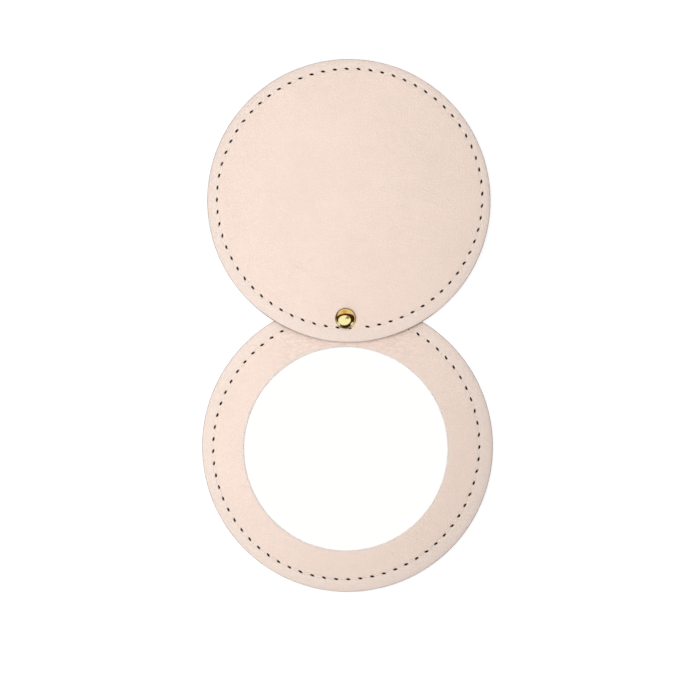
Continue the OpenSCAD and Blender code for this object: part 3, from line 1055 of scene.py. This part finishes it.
def leather_material(name, colour):
    """Pebbled leather, wrinkled near the rivet, with painted shade and highlight at grain, seam, slits,
    window and edges.
    """
    material, tree, where = new_material(name)
    drift = noise(tree, where, PEBBLE_DRIFT_SIZE, output="Color")
    sockets = {0: drift, 1: [PEBBLE_DRIFT * MM] * 3, 2: where}
    moved = new_node(tree, "VectorMath", sockets, operation="MULTIPLY_ADD").outputs[0]
    cells = {"Vector": moved, "Scale": 1 / (PEBBLE_SIZE * MM)}
    crease = new_node(tree, "TexVoronoi", cells, feature="DISTANCE_TO_EDGE").outputs["Distance"]
    pebble = ranged(tree, crease, PEBBLE_SPAN)
    fine = noise(tree, where, size=0.16, detail=3.0, roughness=0.6)
    broad = ranged(tree, noise(tree, where, size=14.0), BROAD_SPAN)
    lengthwise = new_node(tree, "VectorMath", {0: moved, 1: RIPPLE_STRETCH}, operation="MULTIPLY").outputs[0]
    ripple = maths(tree, "ABSOLUTE", maths(tree, "SUBTRACT", noise(tree, lengthwise, size=1.2), 0.5), 0.0)
    # wrinkles near the rivet, which bump the leather and carry painted shade
    crinkle = times(tree, ranged(tree, ripple, RIPPLE_SPAN, FALLING), mask(tree, "creased"))
    # painted shade of puckers outside the seam
    pucker_shade = times(tree, ranged(tree, noise(tree, where, size=0.9), PUCKER_SPAN), mask(tree, "outside"))
    tints = (
        # painted shade in the creases of the grain
        (ranged(tree, pebble, CREASE_SPAN, FALLING), 0.6, shaded(colour, 0.88)),
        # painted shade beside the thread
        (mask(tree, "welt"), 0.4, shaded(colour, 0.84)),
        # painted shade in the wrinkles near the rivet
        (crinkle, 0.45, shaded(colour, 0.74)),
        # painted shade at the window's turned edge
        (mask(tree, "sill"), 1.0, srgb(SILL_SHADE)),
        # painted highlight round the slits
        (mask(tree, "glint"), 0.5, srgb(GLINT_PALE)),
        # painted shade at the slits' rims and walls
        (mask(tree, "stain"), 0.6, srgb(SLIT_SHADE_BROWN)),
        (mask(tree, "outside"), 0.35, srgb(OUTSIDE_PALE)),
        # painted shade of puckers outside the seam
        (pucker_shade, 0.3, shaded(colour, 0.9)),
        # painted shade that fills the slits' walls
        (mask(tree, "wall"), 1.0, srgb(SLIT_WALL_SHADE)),
        # grey of the rounded cut edge, its colour darkened as painted shade
        (mask(tree, "edge"), 0.85, srgb(CUT_EDGE_SHADE)),
        # painted shade along the cover's cut edge near the rivet
        (mask(tree, "soiled"), 1.0, srgb(RIM_SHADE_GREY)),
    )
    tone = mixed(tree, broad, *[shaded(colour, factor) for factor in BROAD_TONES])
    for share, strength, tint in tints:
        tone = mixed(tree, times(tree, share, strength), tone, tint)
    pebble_share, fine_share = GRAIN_SHARES
    height = maths(tree, "ADD", times(tree, pebble, pebble_share), times(tree, fine, fine_share))
    grain = bumped(tree, times(tree, height, mask(tree, "grain")), GRAIN_DEPTH)
    surface(tree, {
        "Base Color": tone,
        "Normal": bumped(tree, maths(tree, "SUBTRACT", 1.0, crinkle), CRINKLE_DEPTH, grain),
        "Roughness": ranged(tree, fine, NOISE_SPAN, LEATHER_ROUGHNESS),
        "Specular IOR Level": ranged(tree, mask(tree, "wall"), (0.0, 1.0), (LEATHER_GLOSS, 0.0)),
    })
    return material


def thread_material(name):
    """Waxed sewing thread with fine fibres, dull and painted dark as shade where it dives into a slit."""
    material, tree, where = new_material(name)
    fibre = noise(tree, where, size=0.05)
    deep = mask(tree, "deep")
    clean = mixed(tree, fibre, *map(srgb, THREAD_CREAMS))
    surface(tree, {
        "Base Color": mixed(tree, deep, clean, srgb(THREAD_DIVE_SHADE)),
        "Normal": bumped(tree, fibre, FIBRE_DEPTH),
        "Roughness": ranged(tree, fibre, NOISE_SPAN, THREAD_ROUGHNESS),
        "Specular IOR Level": ranged(tree, deep, (0.0, 1.0), (THREAD_GLOSS, 0.0)),
        "Sheen Weight": ranged(tree, deep, SHEEN_SPAN, (THREAD_SHEEN, 0.0)),
        "Sheen Roughness": SHEEN_ROUGHNESS,
    })
    return material


def board_material(name):
    """Grey-brown board with pressed fibres."""
    material, tree, where = new_material(name)
    fibre = noise(tree, where, size=0.25, detail=4.0, roughness=0.65)
    fleck = ranged(tree, noise(tree, where, size=0.9), FLECK_SPAN, (0.0, FLECK_SHARE))
    plain = mixed(tree, fibre, *map(srgb, BOARD_GREYS))
    surface(tree, {
        "Base Color": mixed(tree, fleck, plain, srgb(FLECK_BROWN)),
        "Normal": bumped(tree, fibre, BOARD_DEPTH),
        "Roughness": ranged(tree, fibre, NOISE_SPAN, BOARD_ROUGHNESS),
    })
    return material


def gold_material(name):
    """Polished gold plate with faint hairlines, and a painted dark reflection at the cap's foot."""
    material, tree, where = new_material(name)
    haze = noise(tree, where, size=0.8, detail=3.0)
    surface(tree, {
        "Base Color": mixed(tree, mask(tree, "foot"), mixed(tree, haze, *GOLDS), GOLD_DARK_REFLECTION),
        "Normal": bumped(tree, noise(tree, where, size=0.12), HAIRLINE_DEPTH),
        "Roughness": ranged(tree, haze, HAZE_SPAN, GOLD_ROUGHNESS),
        "Metallic": 1.0,
    })
    return material


def mirror_material(name):
    """Silvered glass with the faintest haze."""
    material, tree, where = new_material(name)
    haze = noise(tree, where, size=9.0, detail=3.0)
    surface(tree, {
        "Base Color": mixed(tree, haze, *SILVERS),
        "Roughness": ranged(tree, haze, HAZE_SPAN, MIRROR_ROUGHNESS),
        "Metallic": 1.0,
    })
    return material


def plastic_material(name, colour, size):
    """Milky plastic with a slightly uneven face."""
    material, tree, where = new_material(name)
    mottle = noise(tree, where, size, detail=3.0)
    surface(tree, {
        "Base Color": mixed(tree, mottle, shaded(colour, PLASTIC_TONE), colour),
        "Normal": bumped(tree, mottle, PLASTIC_DEPTH),
        "Roughness": ranged(tree, mottle, NOISE_SPAN, PLASTIC_ROUGHNESS),
    })
    return material


def dress_nodes(materials):
    """Gives each construction node that no piece replaces its finish."""
    for name, material in materials.items():
        part = frame["nodes"][name]
        part.data.materials.clear()
        part.data.materials.append(material)


def seen_straight(tree, ray):
    """1 for a ray that comes straight from the camera, or through something clear."""
    return maths(tree, "MAXIMUM", ray.outputs["Is Camera Ray"], ray.outputs["Is Transmission Ray"])


def floor_material(name):
    """White floor that fades into the background but keeps the object's shadow."""
    material, tree, where = new_material(name)
    mottle = noise(tree, where, size=FLOOR_MOTTLE)
    surface(tree, {
        "Base Color": mixed(tree, mottle, *map(grey, FLOOR_GREYS)),
        "Roughness": FLOOR_ROUGHNESS,
    })
    glow = new_node(tree, "Emission", {"Color": STUDIO_WHITE, "Strength": FLOOR_GLOW})
    pale = new_node(tree, "BsdfDiffuse", {"Color": grey(FLOOR_SHADOW)})
    seen = new_node(tree, "AddShader", {0: glow.outputs[0], 1: pale.outputs[0]})
    ray = new_node(tree, "LightPath")
    sharp = maths(tree, "MAXIMUM", seen_straight(tree, ray), ray.outputs["Is Glossy Ray"])
    lit = tree.nodes["Principled BSDF"].outputs[0]
    pick = new_node(tree, "MixShader", {0: sharp, 1: lit, 2: seen.outputs[0]})
    connect(tree, tree.nodes["Material Output"], {"Surface": pick.outputs[0]})
    return material


def make_floor():
    """The pale floor that the mirror lies on."""
    mesh = bpy.data.meshes.new("floor")
    half = FLOOR_SIZE / 2
    corners = [(east * half, north * half, FLOOR_Z) for east, north in ((-1, -1), (1, -1), (1, 1), (-1, 1))]
    mesh.from_pydata(corners, [], [(0, 1, 2, 3)])
    mesh.materials.append(floor_material("floor_white"))
    new_object("floor", mesh)


def make_camera():
    """The photograph's camera: straight above, far away, and rolled a little."""
    lens = bpy.data.cameras.new("camera")
    lens.lens = CAMERA_LENS
    lens.sensor_width = CAMERA_SENSOR
    lens.clip_start, lens.clip_end = CAMERA_CLIP
    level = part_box("cover_front_leather")[1].z * CAMERA_LEVEL_SHARE
    distance = PHOTO_PX * MM_PER_PX * MM * CAMERA_LENS / CAMERA_SENSOR
    camera = new_object("camera", lens)
    camera.location = (PHOTO_MIDDLE[0] * MM, PHOTO_MIDDLE[1] * MM, level + distance)
    camera.rotation_euler = (0, 0, -PHOTO_ROLL)
    bpy.context.scene.camera = camera


def make_lamp(name, place, size, power):
    """A soft rectangular lamp that faces down and that the camera doesn't see."""
    light = bpy.data.lights.new(name, "AREA")
    light.shape = "RECTANGLE"
    light.size, light.size_y = size
    light.energy = power
    lamp = new_object(name, light)
    lamp.location = place
    lamp.visible_camera = False
    return lamp


def make_aimed_lamp(name, place, aim, size, power):
    """A lamp that faces a point and that no reflection shows."""
    lamp = make_lamp(name, place, size, power)
    lamp.rotation_euler = (Vector(aim) - Vector(place)).to_track_quat("-Z", "Y").to_euler()
    lamp.visible_glossy = False


def make_mirror_card():
    """A wide lit card overhead that lights only the mirror, so that it looks white from every side."""
    card = make_lamp("mirror_card", CARD_PLACE, CARD_SIZE, CARD_POWER)
    lit = bpy.data.collections.new("sees_mirror_card")
    lit.objects.link(frame["nodes"]["mirror_glass"])
    card.light_linking.receiver_collection = lit


def oval(tree, east, north, patch):
    """A soft-edged oval in the reflected studio: 1 inside it, 0 outside."""
    (at_east, at_north), (half_long, half_wide), turn, soft = patch
    x = maths(tree, "SUBTRACT", east, at_east)
    y = maths(tree, "SUBTRACT", north, at_north)
    cos, sin = math.cos(turn), math.sin(turn)
    along = maths(tree, "ADD", times(tree, x, cos), times(tree, y, sin))
    across = maths(tree, "SUBTRACT", times(tree, y, cos), times(tree, x, sin))
    along_share = maths(tree, "POWER", maths(tree, "DIVIDE", along, half_long), 2.0)
    across_share = maths(tree, "POWER", maths(tree, "DIVIDE", across, half_wide), 2.0)
    return ranged(tree, maths(tree, "ADD", along_share, across_share), (1 - soft, 1 + soft), FALLING)


def studio_seen(tree):
    """The studio that polished metal reflects: dark, with a shaded warm wall, lamps and the camera.

    A reflection is placed by the tilt of the surface that shows it to a camera above: east and
    north are the level parts of that surface's unit normal.
    """
    split = new_node(tree, "SeparateXYZ", {0: new_node(tree, "TexCoord").outputs["Generated"]})
    lifted = maths(tree, "MAXIMUM", maths(tree, "ADD", split.outputs["Z"], 1.0), LEAST_LIFT)
    spread = maths(tree, "SQRT", times(tree, lifted, 2.0), 0.0)
    east = maths(tree, "DIVIDE", split.outputs["X"], spread)
    north = maths(tree, "DIVIDE", split.outputs["Y"], spread)
    warm = mixed(tree, oval(tree, east, north, WALL_SHADE), WARM_WALL, WALL_DARK)
    seen = mixed(tree, ranged(tree, north, WALL_SPAN), STUDIO_DARK, warm)
    patches = (
        (SOFTBOX_BORDER, STUDIO_DARK),
        *[(strip, STUDIO_WHITE) for strip in STRIP_LAMPS],
        (SOFTBOX, STUDIO_WHITE),
        (LENS_HOLE, LENS_DARK),
        (CAMERA_HOLE, STUDIO_DARK),
    )
    for patch, colour in patches:
        seen = mixed(tree, oval(tree, east, north, patch), seen, colour)
    return seen


def make_world():
    """White surroundings for the camera, a plain light for the object and a studio for polished metal."""
    world = bpy.data.worlds.new("studio")
    world.use_nodes = True
    tree = world.node_tree
    ray = new_node(tree, "LightPath")
    plain = mixed(tree, seen_straight(tree, ray), grey(WORLD_PLAIN), STUDIO_WHITE)
    light = mixed(tree, ray.outputs["Is Glossy Ray"], plain, studio_seen(tree))
    connect(tree, tree.nodes["Background"], {"Color": light})
    bpy.context.scene.world = world


def build():
    """The whole scene."""
    leather = leather_material("blush_leather", srgb(BLUSH))
    lining = leather_material("lining_leather", srgb(LINING_BLUSH))
    thread = thread_material("cream_thread")
    for disc in leather_discs():
        leather_piece(disc, lining if disc.node == "cover_lining" else leather)
        thread_piece(disc, f"{disc.body}_{'needle' if disc.side > 0 else 'bobbin'}_thread", thread)
    gold = gold_material("gold_plate")
    cap_piece(gold)
    board = board_material("pressed_board")
    dress_nodes({
        "base_back_board": board,
        "mirror_frame_board": board,
        "cover_board": board,
        "mirror_glass": mirror_material("silvered_glass"),
        "mirror_adhesive": plastic_material("glue_film", srgb(GLUE_MILK), size=1.5),
        "pivot_washer": plastic_material("natural_nylon", srgb(NYLON_MILK), size=0.6),
        "rivet_post": gold,
    })
    make_floor()
    make_camera()
    make_world()
    make_aimed_lamp("key", KEY_PLACE, KEY_AIM, KEY_SIZE, KEY_POWER)
    make_aimed_lamp("top", TOP_PLACE, TOP_AIM, TOP_SIZE, TOP_POWER)
    make_mirror_card()
    bpy.context.scene.view_settings.view_transform = "Standard"


build()
